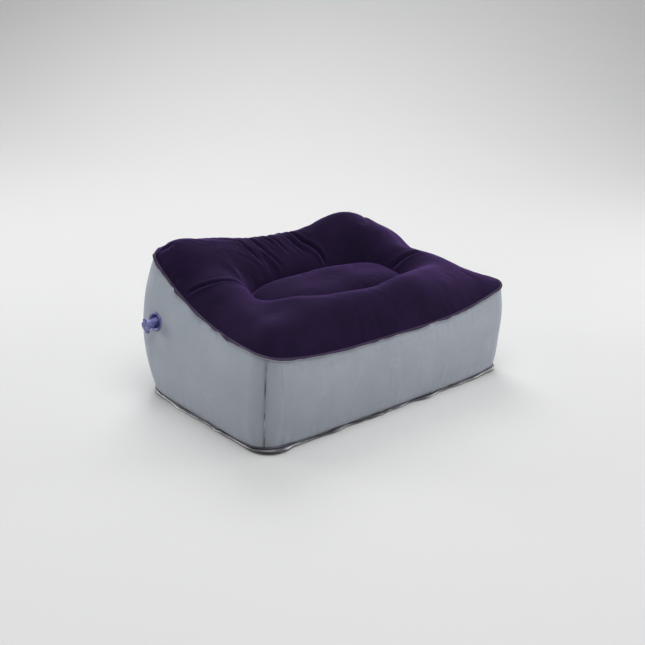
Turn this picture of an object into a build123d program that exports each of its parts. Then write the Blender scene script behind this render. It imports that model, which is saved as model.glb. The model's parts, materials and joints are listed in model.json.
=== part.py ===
"""Inflatable leg rest cushion: a wedge of welded flocked film, dished by an inner band, with its air valve.

The origin is the centre of the base where it rests on the floor. +X runs along the long front,
-Y is the low front, +Y is the high rear and +Z is up. Lengths are millimetres.
"""

import os
from math import cos, exp, hypot, log, pi, radians, sin, sqrt

from build123d import *

# ---------------------------------------------------------------- driving dimensions

HALF_WIDTH = 228.0  # outline of the welded seams, along X
HALF_DEPTH = 124.0  # outline of the welded seams, along Y
CORNER = 24.0  # plan radius of the four upright corners
FILM = 1.2  # film with its flocking
LIP = 4.5  # weld margin that stands out all round
SEAM_GAP = 0.5  # the crown panel's margin sits this far above the walls' margin

BASE_SEAM = 7.0  # height of the lower seam
FRONT_SEAM = 131.0  # height of the upper seam at the front corners
REAR_SEAM = 207.0  # height of the upper seam at the rear corners
REAR_RISE_POWER = 2.6  # how late the upper seam climbs towards the rear
FRONT_DIP = 20.0  # the seam sags between the front corners
FRONT_DIP_START = -40.0  # from this y to the front
FRONT_DIP_POWER = 3.5  # how close to the corners it stays low
REAR_DIP = 21.0  # and between the rear corners
REAR_DIP_START = 30.0  # from this y to the rear
REAR_DIP_POWER = 2.5
SLUMP = 42.0  # the rear right corner hangs this much lower
SLUMP_SPREAD = 60.0
SLUMP_OFFSET = 10.0  # its middle lies this far out along X and in along Y from the corner
RIGHT_EAR = 7.0  # the front right corner stands a little proud
RIGHT_EAR_SPREAD = 60.0

BULGE_SHARE = 0.09  # a wall bows out by this share of its height
WELD_TIGHTNESS = 0.75  # a welded corner holds back this share of the bow

CROWN = 40.0  # height of the front bolster above its seam
REAR_CROWN_LOSS = 7.0  # the rear bolster is lower over its seam
LEFT_CROWN_LOSS = 13.0  # so is the left bolster between its front and rear corners
RIGHT_CROWN_LOSS = 21.0  # and the right bolster, up to its front corner
SIDE_LOSS_START = 110.0  # distance from the middle where a side bolster begins
SIDE_LOSS_RUN = 80.0
LEFT_PEAK = (-180.0, 100.0, 60.0)  # x, y and spread of the high spots on the rear bolster
LEFT_PEAK_RISE = 11.0
RIGHT_PEAK = (95.0, 100.0, 50.0)
RIGHT_PEAK_RISE = 16.0
RIGHT_TIP = (195.0, -90.0, 35.0)  # x, y and spread of the flat front right corner
RIGHT_TIP_LOSS = 6.0
BOLSTER = 50.0  # distance over which the crown panel rises from its seam
BOLSTER_POWER = 2.4
OUTLINE_BLEND = 10.0  # rounds the bolster in the corners

DISH_Y = 10.0  # centre of the oval that the inner band pulls down
DISH_HALF_LENGTH = 132.0
DISH_HALF_WIDTH = 44.0
DISH_Z = 133.0  # height of the oval weld line
DISH_TILT = 0.12  # the oval rises towards the rear
DISH_SLOPE = 66.0  # distance over which the dish climbs to the bolster
ISLAND = 26.0  # the middle bulges up again inside the oval
ISLAND_POWER = 2.2

VALVE_Y = 88.0  # the valve sits in the left wall near the rear corner
VALVE_SHARE = 0.63  # at this share of the wall's height
VALVE_DROOP = 16.0  # degrees that the stem hangs below the wall's normal
SOCKET = 11.0  # radius of the hole in the wall
HOLE_REACH = 10.0  # the hole is cut this far to each side of the wall's skin
SEAT_RADIUS = 15.5  # radius of the welded seat ring
STEM = 5.5  # outer radius of the stem
STEM_BORE = 3.6
STEM_MOUTH = 15.0  # the stem's mouth, out from the wall
STEM_FOOT = -9.0  # the stem's foot, inside the wall
FOOT_RADIUS = 7.5
PLUG_HEAD = 6.8  # radius of the plug's head
PLUG_DEPTH = 5.0  # how far the plug's shank reaches into the stem

os.makedirs("parts", exist_ok=True)


def smooth(share):
    """Ease from 0 to 1 as share goes from 0 to 1."""
    share = max(0.0, min(1.0, share))
    return share * share * (3 - 2 * share)


def mound(x, y, centre_x, centre_y, spread):
    """A round mound of height 1."""
    return exp(-((x - centre_x) ** 2 + (y - centre_y) ** 2) / (2 * spread**2))


def edge_distance(x, y):
    """Distance in from the seam outline, with its contours rounded in the corners."""
    from_side = (HALF_WIDTH - abs(x)) / OUTLINE_BLEND
    from_end = (HALF_DEPTH - abs(y)) / OUTLINE_BLEND
    return -OUTLINE_BLEND * log(exp(-from_side) + exp(-from_end))


def seam_height(x, y):
    """Height of the upper seam, defined over the whole plan."""
    back = max(0.0, (y + HALF_DEPTH) / (2 * HALF_DEPTH))
    z = FRONT_SEAM + (REAR_SEAM - FRONT_SEAM) * back**REAR_RISE_POWER
    across = abs(x) / HALF_WIDTH
    to_front = (FRONT_DIP_START - y) / (HALF_DEPTH + FRONT_DIP_START)
    to_rear = (y - REAR_DIP_START) / (HALF_DEPTH - REAR_DIP_START)
    z -= FRONT_DIP * (1 - across**FRONT_DIP_POWER) * smooth(to_front)
    z -= REAR_DIP * (1 - across**REAR_DIP_POWER) * smooth(to_rear)
    z -= SLUMP * mound(x, y, HALF_WIDTH + SLUMP_OFFSET, HALF_DEPTH - SLUMP_OFFSET, SLUMP_SPREAD)
    z += RIGHT_EAR * mound(x, y, HALF_WIDTH, -HALF_DEPTH, RIGHT_EAR_SPREAD)
    return z


def crown_height(x, y):
    """Outer height of the crown panel: bolster all round, dish, and island in the middle."""
    seam = seam_height(x, y)
    inward = min(1.0, max(0.0, edge_distance(x, y) / BOLSTER))
    rise = 1 - (1 - inward) ** BOLSTER_POWER
    crown = CROWN - REAR_CROWN_LOSS * smooth(y / 60)
    side = smooth((abs(x) - SIDE_LOSS_START) / SIDE_LOSS_RUN)
    side *= 1 - smooth((y - DISH_HALF_WIDTH) / DISH_HALF_WIDTH)
    if x > 0:
        crown -= RIGHT_CROWN_LOSS * side + RIGHT_TIP_LOSS * mound(x, y, *RIGHT_TIP)
    else:
        crown -= LEFT_CROWN_LOSS * side * smooth((y + HALF_DEPTH - BOLSTER / 4) / BOLSTER)
    crown += LEFT_PEAK_RISE * mound(x, y, *LEFT_PEAK)
    crown += RIGHT_PEAK_RISE * mound(x, y, *RIGHT_PEAK)
    z = seam + crown * rise
    weld = DISH_Z + DISH_TILT * (y - DISH_Y)
    oval = max(1e-6, hypot(x / DISH_HALF_LENGTH, (y - DISH_Y) / DISH_HALF_WIDTH))
    if oval < 1:
        return weld + ISLAND * (1 - oval**ISLAND_POWER)
    outside = (oval - 1) * hypot(x, y - DISH_Y) / oval
    climb = 1 - max(0.0, 1 - outside / DISH_SLOPE) ** 2
    return weld + (z - weld) * climb


RIM_ZONE = 10.0  # the walls' margin lies under this much of the crown panel's rim


def outer_skin(x, y):
    """Outer height of the crown panel, whose film lies on the seam margin."""
    return crown_height(x, y) + SEAM_GAP + FILM


def inner_skin(x, y):
    """Inner height of the crown panel: one film thickness in, and above the seam beside the rim."""
    step = 1.0
    slope_x = (crown_height(x + step, y) - crown_height(x - step, y)) / (2 * step)
    slope_y = (crown_height(x, y + step) - crown_height(x, y - step)) / (2 * step)
    film_height = FILM * sqrt(1 + slope_x**2 + slope_y**2)
    z = outer_skin(x, y) - film_height
    if edge_distance(x, y) < RIM_ZONE:
        z = max(z, seam_height(x, y) + SEAM_GAP)
    return z


# ---------------------------------------------------------------- crown panel

CORNER_X = HALF_WIDTH - CORNER  # centres of the four corner arcs
CORNER_Y = HALF_DEPTH - CORNER
FRONT_STEPS = 24  # sections between the corner arcs, shared by the crown and the walls
PROFILE_STEPS = 34
RIM_STEP = 3.0  # an extra section just inside the outline's ends


def half_depth(x, grow=0.0):
    """Half depth of the seam outline at x, with the outline grown outwards."""
    past_arc = abs(x) - CORNER_X
    if past_arc <= 0:
        return HALF_DEPTH + grow
    return CORNER_Y + sqrt(max(0.0, (CORNER + grow) ** 2 - past_arc**2))


def crown_section(x):
    """Draw the film's cross-section at x, in the section plane's own y and z."""
    rim = half_depth(x, LIP)
    foot = half_depth(x) if abs(x) < HALF_WIDTH else rim - LIP
    inner_foot = foot - FILM
    outer = [foot * (2 * i / PROFILE_STEPS - 1) for i in range(PROFILE_STEPS + 1)]
    inner = [inner_foot * (1 - 2 * i / PROFILE_STEPS) for i in range(PROFILE_STEPS + 1)]
    top = [(y, outer_skin(x, y)) for y in outer]
    under = [(y, inner_skin(x, y)) for y in inner]
    under[0] = (inner_foot, seam_height(x, inner_foot) + SEAM_GAP)
    under[-1] = (-inner_foot, seam_height(x, -inner_foot) + SEAM_GAP)
    front_low = (-rim, seam_height(x, -rim) + SEAM_GAP)
    front_high = (-rim, front_low[1] + FILM)
    rear_low = (rim, seam_height(x, rim) + SEAM_GAP)
    rear_high = (rim, rear_low[1] + FILM)
    Line(front_low, front_high)
    Line(front_high, top[0])
    Spline(*top)
    Line(top[-1], rear_high)
    Line(rear_high, rear_low)
    Line(rear_low, under[0])
    Spline(*under)
    Line(under[-1], front_low)


side_xs = [CORNER_X + (CORNER + LIP) * sin(radians(10 * i)) for i in range(1, 10)]
side_xs = sorted(side_xs + [HALF_WIDTH, HALF_WIDTH - RIM_STEP])
middle_xs = [CORNER_X * (2 * i / FRONT_STEPS - 1) for i in range(FRONT_STEPS + 1)]
crown_xs = [-x for x in reversed(side_xs)] + middle_xs + side_xs

with BuildPart() as top_panel:
    for x in crown_xs:
        with BuildSketch(Plane(origin=(x, 0, 0), x_dir=(0, 1, 0), z_dir=(1, 0, 0))):
            with BuildLine():
                crown_section(x)
            make_face()
    loft(ruled=True)
top_panel.part.label = "top_panel"
export_step(top_panel.part, "parts/top_panel.step")

# ---------------------------------------------------------------- wall panels

WELD_ANGLE = 45  # the two walls meet in the middle of a corner arc
WELD_RIDGE = 2.5  # the corner weld's margin stands this far out of the wall
WELD_SPAN = 3.0  # degrees of arc that one margin is thick


def wall_bulge(x, y, share):
    """How far a wall bows out, at a share of its height and beside a point of the outline."""
    height = seam_height(x, y) - BASE_SEAM
    corner = min(1.0, abs(x) / HALF_WIDTH) ** 6 * min(1.0, abs(y) / HALF_DEPTH) ** 6
    held = 0.0 if x < 0 < y else WELD_TIGHTNESS * corner
    return BULGE_SHARE * height * (1 - held) * sin(pi * share)


def wall_stations(turned):
    """Stations (spine x, spine y, direction, ridge) from the front left weld to the rear right one.

    The first wall runs along the front and up the right side. Turned half round, the same path
    runs along the rear and down the left side.
    """
    start = 180 + WELD_ANGLE
    stations = [(-CORNER_X, -CORNER_Y, start + d, WELD_RIDGE) for d in (0, WELD_SPAN)]
    stations += [(-CORNER_X, -CORNER_Y, start + d, 0) for d in (5, 15, 25, 35)]
    stations += [(x, -CORNER_Y, 270, 0) for x in middle_xs]
    stations += [(CORNER_X, -CORNER_Y, 270 + 10 * i, 0) for i in range(1, 9)]
    stations += [(CORNER_X, CORNER_Y * (i / 10 - 1), 360, 0) for i in range(21)]
    stations += [(CORNER_X, CORNER_Y, d, 0) for d in (10, 20, 30, 40)]
    stations += [(CORNER_X, CORNER_Y, WELD_ANGLE - d, WELD_RIDGE) for d in (WELD_SPAN, 0)]
    if turned:
        stations = [(-x, -y, angle + 180, ridge) for x, y, angle, ridge in stations]
    return stations


def wall_section(station):
    """Draw one film wall's cross-section with both weld margins, as radius from the spine and z."""
    spine_x, spine_y, angle, ridge = station
    out_x, out_y = cos(radians(angle)), sin(radians(angle))

    def seam_at(radius):
        return seam_height(spine_x + radius * out_x, spine_y + radius * out_y)

    edge_x, edge_y = spine_x + CORNER * out_x, spine_y + CORNER * out_y
    bulge = wall_bulge(edge_x, edge_y, 0.5)
    outer, inner, rim = CORNER + ridge, CORNER - FILM, CORNER + LIP
    low, high = BASE_SEAM, seam_at(CORNER)
    halfway = (low + high) / 2
    Line((inner, low), (rim, low))
    Line((rim, low), (rim, low + FILM))
    Line((rim, low + FILM), (outer, low + FILM))
    ThreePointArc((outer, low + FILM), (outer + bulge, halfway), (outer, seam_at(outer) - FILM))
    Line((outer, seam_at(outer) - FILM), (rim, seam_at(rim) - FILM))
    Line((rim, seam_at(rim) - FILM), (rim, seam_at(rim)))
    Line((rim, seam_at(rim)), (inner, seam_at(inner)))
    ThreePointArc((inner, seam_at(inner)), (inner + bulge, halfway), (inner, low))


def station_plane(station):
    """Upright plane that holds the wall's cross-section at a station."""
    spine_x, spine_y, angle, _ = station
    out_x, out_y = cos(radians(angle)), sin(radians(angle))
    return Plane(origin=(spine_x, spine_y, 0), x_dir=(out_x, out_y, 0), z_dir=(out_y, -out_x, 0))


with BuildPart() as front_right_wall:
    for station in wall_stations(turned=False):
        with BuildSketch(station_plane(station)):
            with BuildLine():
                wall_section(station)
            make_face()
    loft(ruled=True)
front_right_wall.part.label = "front_right_wall"
export_step(front_right_wall.part, "parts/front_right_wall.step")

# ---------------------------------------------------------------- valve frames

def skin_point(y, share):
    """A point on the left wall's outer skin."""
    height = seam_height(-HALF_WIDTH, y) - BASE_SEAM
    x = -HALF_WIDTH - wall_bulge(-HALF_WIDTH, y, share)
    return Vector(x, y, BASE_SEAM + height * share)


valve_centre = skin_point(VALVE_Y, VALVE_SHARE)
upward = skin_point(VALVE_Y, VALVE_SHARE + 0.05) - skin_point(VALVE_Y, VALVE_SHARE - 0.05)
rearward = skin_point(VALVE_Y + 5, VALVE_SHARE) - skin_point(VALVE_Y - 5, VALVE_SHARE)
outward = upward.cross(rearward).normalized()
if outward.X > 0:
    outward = outward * -1
seat_frame = Plane(origin=valve_centre, x_dir=rearward.normalized(), z_dir=outward)
lean = Vector(0, 0, -1) * sin(radians(VALVE_DROOP)) + outward * cos(radians(VALVE_DROOP))
stem_frame = Plane(origin=valve_centre, x_dir=Vector(0, 1, 0).cross(lean), z_dir=lean)

with BuildPart() as whole_rear_left_wall:
    for station in wall_stations(turned=True):
        with BuildSketch(station_plane(station)):
            with BuildLine():
                wall_section(station)
            make_face()
    loft(ruled=True)

with BuildPart() as rear_left_wall:
    add(whole_rear_left_wall.part)
    with BuildSketch(seat_frame.offset(-HOLE_REACH)):
        Circle(SOCKET)
    extrude(amount=2 * HOLE_REACH, mode=Mode.SUBTRACT)
rear_left_wall.part.label = "rear_left_wall"
export_step(rear_left_wall.part, "parts/rear_left_wall.step")

# ---------------------------------------------------------------- base panel

BASE_ROLL = 6.0  # radius of the roll from the resting face up to the lower seam

with BuildPart() as base_panel:
    with BuildSketch(Plane.XY):
        RectangleRounded(2 * HALF_WIDTH, 2 * HALF_DEPTH, CORNER)
    extrude(amount=BASE_SEAM)
    fillet(base_panel.edges().group_by(Axis.Z)[0], radius=BASE_ROLL)
    offset(amount=-FILM, openings=base_panel.faces().sort_by(Axis.Z)[-1])
    with BuildSketch(Plane.XY.offset(BASE_SEAM - FILM)):
        RectangleRounded(2 * (HALF_WIDTH + LIP), 2 * (HALF_DEPTH + LIP), CORNER + LIP)
        RectangleRounded(
            2 * (HALF_WIDTH - FILM), 2 * (HALF_DEPTH - FILM), CORNER - FILM, mode=Mode.SUBTRACT
        )
    extrude(amount=FILM)
base_panel.part.label = "base_panel"
export_step(base_panel.part, "parts/base_panel.step")

# ---------------------------------------------------------------- inner tether

WELD_MARGIN = 6.0  # half width of the band's weld rings
RING_CLEARANCE = 2.2  # between the crown's weld line and the underside of the ring that holds it
VENT = 9.0  # radius of the air holes in the band
VENT_PITCH = 50.0
VENT_COUNT = 4
VENT_Z = 62.0

weld_plane = Plane(
    origin=(0, DISH_Y, DISH_Z - RING_CLEARANCE), x_dir=(1, 0, 0), z_dir=(0, -DISH_TILT, 1)
)

with BuildPart() as tether_base_ring:
    with BuildSketch(Plane((0, DISH_Y, FILM))):
        Ellipse(DISH_HALF_LENGTH + WELD_MARGIN, DISH_HALF_WIDTH + WELD_MARGIN)
        Ellipse(DISH_HALF_LENGTH - WELD_MARGIN, DISH_HALF_WIDTH - WELD_MARGIN, mode=Mode.SUBTRACT)
    extrude(amount=FILM)
tether_base_ring.part.label = "tether_base_ring"
export_step(tether_base_ring.part, "parts/tether_base_ring.step")

with BuildPart() as tether_top_ring:
    with BuildSketch(weld_plane):
        Ellipse(DISH_HALF_LENGTH + WELD_MARGIN / 2, DISH_HALF_WIDTH + WELD_MARGIN / 2)
        Ellipse(
            DISH_HALF_LENGTH - WELD_MARGIN / 2, DISH_HALF_WIDTH - WELD_MARGIN / 2, mode=Mode.SUBTRACT
        )
    extrude(amount=-FILM)
tether_top_ring.part.label = "tether_top_ring"
export_step(tether_top_ring.part, "parts/tether_top_ring.step")

with BuildPart() as tether_band:
    with BuildSketch(Plane((0, DISH_Y, 2 * FILM))):
        Ellipse(DISH_HALF_LENGTH + FILM / 2, DISH_HALF_WIDTH + FILM / 2)
        Ellipse(DISH_HALF_LENGTH - FILM / 2, DISH_HALF_WIDTH - FILM / 2, mode=Mode.SUBTRACT)
    extrude(amount=FRONT_SEAM + CROWN)
    split(bisect_by=weld_plane.offset(-FILM - SEAM_GAP), keep=Keep.BOTTOM)
    with BuildSketch(Plane.XZ.offset(-DISH_Y)):
        with Locations((0, VENT_Z)):
            with GridLocations(VENT_PITCH, 1, VENT_COUNT, 1):
                Circle(VENT)
    extrude(amount=2 * DISH_HALF_WIDTH, both=True, mode=Mode.SUBTRACT)
tether_band.part.label = "tether_band"
export_step(tether_band.part, "parts/tether_band.step")

# ---------------------------------------------------------------- valve

SEAT_BACK = -(FILM + 0.9)  # the seat ring lies behind the wall's film
COLLAR_GAP = 0.3  # between the collar and the stem that slides in it
COLLAR = 1.2  # thickness of the valve's soft collar
FOOT_THICKNESS = 1.5
RIM_RADIUS = 6.3
RIM_THICKNESS = 1.6

with BuildPart() as valve_seat_ring:
    with BuildSketch(seat_frame.offset(SEAT_BACK)):
        Circle(SEAT_RADIUS)
        Circle(SOCKET, mode=Mode.SUBTRACT)
    extrude(amount=-FILM)
valve_seat_ring.part.label = "valve_seat_ring"
export_step(valve_seat_ring.part, "parts/valve_seat_ring.step")

with BuildPart() as valve_collar:
    with BuildSketch(seat_frame.offset(SEAT_BACK)):
        Circle(SOCKET)
    with BuildSketch(stem_frame.offset(STEM_FOOT + FOOT_THICKNESS)):
        Circle(FOOT_RADIUS)
    loft()
    with BuildSketch(seat_frame.offset(SEAT_BACK)):
        Circle(SOCKET - COLLAR)
    with BuildSketch(stem_frame.offset(STEM_FOOT + FOOT_THICKNESS)):
        Circle(STEM + COLLAR_GAP)
    loft(mode=Mode.SUBTRACT)
valve_collar.part.label = "valve_collar"
export_step(valve_collar.part, "parts/valve_collar.step")

with BuildPart() as valve_stem:
    with BuildSketch(stem_frame.offset(STEM_FOOT)):
        Circle(STEM)
    extrude(amount=STEM_MOUTH - STEM_FOOT)
    with BuildSketch(stem_frame.offset(STEM_FOOT)):
        Circle(FOOT_RADIUS)
    extrude(amount=FOOT_THICKNESS - SEAM_GAP)
    with BuildSketch(stem_frame.offset(STEM_MOUTH - RIM_THICKNESS)):
        Circle(RIM_RADIUS)
    extrude(amount=RIM_THICKNESS)
    with BuildSketch(stem_frame.offset(STEM_FOOT)):
        Circle(STEM_BORE)
    extrude(amount=STEM_MOUTH - STEM_FOOT, mode=Mode.SUBTRACT)
valve_stem.part.label = "valve_stem"
export_step(valve_stem.part, "parts/valve_stem.step")

FLAP_RADIUS = 5.0
FLAP_THICKNESS = 0.8
FLAP_GAP = 0.2

with BuildPart() as valve_flap:
    with BuildSketch(stem_frame.offset(STEM_FOOT - FLAP_GAP)):
        Circle(FLAP_RADIUS)
    extrude(amount=-FLAP_THICKNESS)
valve_flap.part.label = "valve_flap"
export_step(valve_flap.part, "parts/valve_flap.step")

PLUG_THICKNESS = 2.6
PLUG_GAP = 0.3
SHANK_ROOT = 3.3  # the shank tapers, so that it clears the bore as the plug swings out
SHANK_TIP = 1.9
HINGE_REACH = 8.2  # the strap bends this far from the stem's axis
STRAP = 0.9  # thickness of the strap
STRAP_WIDTH = 4.0
STRAP_BELLY = 2.2
STRAP_GAP = 0.2
TAB_LENGTH = 9.0
TAB_WIDTH = 5.0
TAB_EDGE = 0.6

with BuildPart() as valve_plug:
    with BuildSketch(stem_frame.offset(STEM_MOUTH + PLUG_GAP)):
        Circle(PLUG_HEAD)
        with Locations((PLUG_HEAD, 0)):
            SlotOverall(TAB_LENGTH, TAB_WIDTH)
    extrude(amount=PLUG_THICKNESS)
    fillet(valve_plug.edges().sort_by(Axis(stem_frame.origin, stem_frame.z_dir))[-1], radius=TAB_EDGE)
    with BuildSketch(stem_frame.offset(STEM_MOUTH + PLUG_GAP)):
        Circle(SHANK_ROOT)
    with BuildSketch(stem_frame.offset(STEM_MOUTH - PLUG_DEPTH)):
        Circle(SHANK_TIP)
    loft()
valve_plug.part.label = "valve_plug"
export_step(valve_plug.part, "parts/valve_plug.step")

with BuildPart() as plug_strap:
    strap_plane = Plane(origin=valve_centre, x_dir=stem_frame.x_dir, z_dir=stem_frame.y_dir * -1)
    with BuildSketch(strap_plane):
        with BuildLine():
            low = STEM_MOUTH - RIM_THICKNESS
            high = STEM_MOUTH + PLUG_GAP + PLUG_THICKNESS
            halfway = (low + high) / 2
            stem_end = -RIM_RADIUS - STRAP_GAP
            plug_end = -PLUG_HEAD - STRAP_GAP
            bend = -HINGE_REACH
            Line((stem_end, low), (bend, low))
            ThreePointArc((bend, low), (bend - STRAP_BELLY, halfway), (bend, high))
            Line((bend, high), (plug_end, high))
            Line((plug_end, high), (plug_end, high - STRAP))
            Line((plug_end, high - STRAP), (bend, high - STRAP))
            ThreePointArc(
                (bend, high - STRAP), (bend - STRAP_BELLY + STRAP, halfway), (bend, low + STRAP)
            )
            Line((bend, low + STRAP), (stem_end, low + STRAP))
            Line((stem_end, low + STRAP), (stem_end, low))
        make_face()
    extrude(amount=STRAP_WIDTH / 2, both=True)
plug_strap.part.label = "plug_strap"
export_step(plug_strap.part, "parts/plug_strap.step")
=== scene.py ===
"""Looks of the inflatable leg rest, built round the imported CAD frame.

The camera, the lights and the sweep are in metres. +X runs along the long front, -Y is the low
front, +Y the high rear and +Z is up.
"""

import json
import bpy
import numpy as np
from mathutils import Matrix, Vector


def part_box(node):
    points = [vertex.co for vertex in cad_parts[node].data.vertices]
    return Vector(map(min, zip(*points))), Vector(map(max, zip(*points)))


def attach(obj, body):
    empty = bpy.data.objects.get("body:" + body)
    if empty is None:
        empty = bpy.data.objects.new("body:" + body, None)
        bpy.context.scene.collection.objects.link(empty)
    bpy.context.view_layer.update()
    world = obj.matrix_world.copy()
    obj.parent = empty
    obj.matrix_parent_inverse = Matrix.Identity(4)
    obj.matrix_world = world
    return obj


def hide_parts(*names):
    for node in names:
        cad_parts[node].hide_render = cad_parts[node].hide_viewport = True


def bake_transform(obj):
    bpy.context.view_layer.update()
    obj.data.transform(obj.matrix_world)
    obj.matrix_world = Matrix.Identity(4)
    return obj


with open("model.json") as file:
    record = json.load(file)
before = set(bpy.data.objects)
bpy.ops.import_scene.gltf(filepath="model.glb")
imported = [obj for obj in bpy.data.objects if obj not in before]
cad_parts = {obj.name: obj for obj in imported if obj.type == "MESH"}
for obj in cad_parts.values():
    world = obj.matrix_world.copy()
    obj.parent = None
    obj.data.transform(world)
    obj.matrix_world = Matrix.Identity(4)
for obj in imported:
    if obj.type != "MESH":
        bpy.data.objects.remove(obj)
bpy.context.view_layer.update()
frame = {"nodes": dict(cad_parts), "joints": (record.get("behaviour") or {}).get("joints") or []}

MM = 0.001

# ---------------------------------------------------------------- sizes from the frame

base_low, base_high = (np.array(corner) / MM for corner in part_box("base_panel"))
LIP = 4.5  # weld margin
HALF_WIDTH = base_high[0] - LIP
HALF_DEPTH = base_high[1] - LIP
CORNER = 24.0  # plan radius of the upright corners
CORNER_X = HALF_WIDTH - CORNER
CORNER_Y = HALF_DEPTH - CORNER
FILM = 0.7  # thickness of the flocked and base films
TETHER_FILM = 0.8
valve_low, valve_high = (np.array(corner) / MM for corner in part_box("valve_seat_ring"))
valve_centre = (valve_low + valve_high) / 2

# ---------------------------------------------------------------- camera


CAMERA_PLACE = (-0.9235, -0.9630, 0.5898)  # metres
CAMERA_HEADING = np.radians(43.078)  # from +Y towards +X
CAMERA_DOWN = np.radians(20.623)
CAMERA_ROLL = np.radians(2.589)
LENS = 55.81  # millimetres, on a sensor 36 mm wide


def make_camera():
    """A camera that sees the front left corner from above, rolled a little."""
    data = bpy.data.cameras.new("camera")
    data.lens = LENS
    data.sensor_width = 36.0
    data.clip_end = 60.0
    camera = bpy.data.objects.new("camera", data)
    bpy.context.scene.collection.objects.link(camera)
    turn = Matrix.Rotation(-CAMERA_HEADING, 4, "Z") @ Matrix.Rotation(np.pi / 2 - CAMERA_DOWN, 4, "X")
    roll = Matrix.Rotation(CAMERA_ROLL, 4, "Z")
    camera.matrix_world = Matrix.Translation(CAMERA_PLACE) @ turn @ roll
    bpy.context.scene.camera = camera


# ---------------------------------------------------------------- shape formulas, in millimetres


def smooth(share):
    """0 below 0, 1 above 1 and an even S curve between."""
    share = np.clip(share, 0, 1)
    return share * share * (3 - 2 * share)


def mound(x, y, centre_x, centre_y, spread):
    """A round swelling of unit height."""
    return np.exp(-((x - centre_x) ** 2 + (y - centre_y) ** 2) / (2 * spread**2))


def waves(around, count, slowest, fastest, seed):
    """A closed wavy line of about unit height, from a few whole-number waves round the loop."""
    random = np.random.default_rng(seed)
    total = np.zeros_like(around)
    for turns in random.integers(slowest, fastest, count):
        total += np.sin(2 * np.pi * turns * around + random.uniform(0, 2 * np.pi))
    return total / np.sqrt(count / 2)


def lumps(x, y, shortest, longest, seed, count=14):
    """Gentle unevenness of about unit height over the plan."""
    random = np.random.default_rng(seed)
    total = np.zeros_like(x)
    for _ in range(count):
        length = random.uniform(shortest, longest)
        angle, phase = random.uniform(0, 2 * np.pi, 2)
        total += np.sin(2 * np.pi * (x * np.cos(angle) + y * np.sin(angle)) / length + phase)
    return total / np.sqrt(count / 2)


def edge_distance(x, y):
    """Distance in from the seam outline, with rounded contours in the corners."""
    from_side = (HALF_WIDTH - np.abs(x)) / 10
    from_end = (HALF_DEPTH - np.abs(y)) / 10
    return -10 * np.log(np.exp(-from_side) + np.exp(-from_end))


FRONT_SEAM = 131.0  # height of the upper weld at the front corners
SEAM_CLIMB = 76.0  # how much higher it is at the rear
CLIMB_POWER = 2.6  # a high power climbs late
FRONT_DIP = 20.0
FRONT_DIP_START = -40.0
REAR_DIP = 21.0
REAR_DIP_START = 30.0
SLUMP = 42.0  # the rear right corner hangs lower
SLUMP_SPREAD = 60.0
RIGHT_FRONT_LIFT = 7.0


def seam_height(x, y):
    """Height of the upper weld: low front, late climb to the rear, slumped rear right corner."""
    back = np.maximum(0, (y + HALF_DEPTH) / (2 * HALF_DEPTH))
    across = np.abs(x) / HALF_WIDTH
    front = smooth((FRONT_DIP_START - y) / (HALF_DEPTH + FRONT_DIP_START))
    rear = smooth((y - REAR_DIP_START) / (HALF_DEPTH - REAR_DIP_START))
    z = FRONT_SEAM + SEAM_CLIMB * back**CLIMB_POWER
    z = z - FRONT_DIP * (1 - across**3.5) * front
    z = z - REAR_DIP * (1 - across**2.5) * rear
    z = z - SLUMP * mound(x, y, HALF_WIDTH + 10, HALF_DEPTH - 10, SLUMP_SPREAD)
    return z + RIGHT_FRONT_LIFT * mound(x, y, HALF_WIDTH, -HALF_DEPTH, 60)


BASE_SEAM = 3.5  # height of the lower weld along the sides
BASE_CORNER_LIFT = 8.0


def corner_share(x, y):
    """1 in the plan's corners, falling off steeply along the sides."""
    return np.minimum(1, np.abs(x) / HALF_WIDTH) ** 6 * np.minimum(1, np.abs(y) / HALF_DEPTH) ** 6


def base_seam_height(x, y):
    """Height of the lower weld: near the floor, a little higher in the corners."""
    return BASE_SEAM + BASE_CORNER_LIFT * corner_share(x, y)


DISH_Y = 10.0
DISH_HALF_LENGTH = 130.0
DISH_HALF_WIDTH = 46.0
DISH_SQUARENESS = 3.2  # 2 is an ellipse, more is squarer
DISH_SLOPE = 64.0  # from the oval weld line to the bolster's top
OVAL_WELD = 133.0  # height of the oval weld line at the dish's middle
OVAL_TILT = 0.12  # its climb towards the rear
ISLAND = 21.0
BOLSTER = 40.0  # how far the bolster stands over the upper weld
REAR_BOLSTER_LOSS = 7.0
REAR_SETBACK_DROP = 7.5
RIGHT_BOLSTER_LOSS = 21.0
LEFT_BOLSTER_LOSS = 13.0
CROWN_SWELLINGS = [
    # height, plan centre and spread
    (11, -180, 100, 60),
    (17, 104, 100, 48),
    (-4, -140, -46, 50),
    (-3, 130, -40, 55),
    (4, 70, -64, 40),
]


def oval_share(x, y):
    """0 at the middle of the island and 1 on the oval weld line."""
    along = np.abs(x / DISH_HALF_LENGTH) ** DISH_SQUARENESS
    across = np.abs((y - DISH_Y) / DISH_HALF_WIDTH) ** DISH_SQUARENESS
    return np.maximum(1e-6, (along + across) ** (1 / DISH_SQUARENESS))


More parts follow.
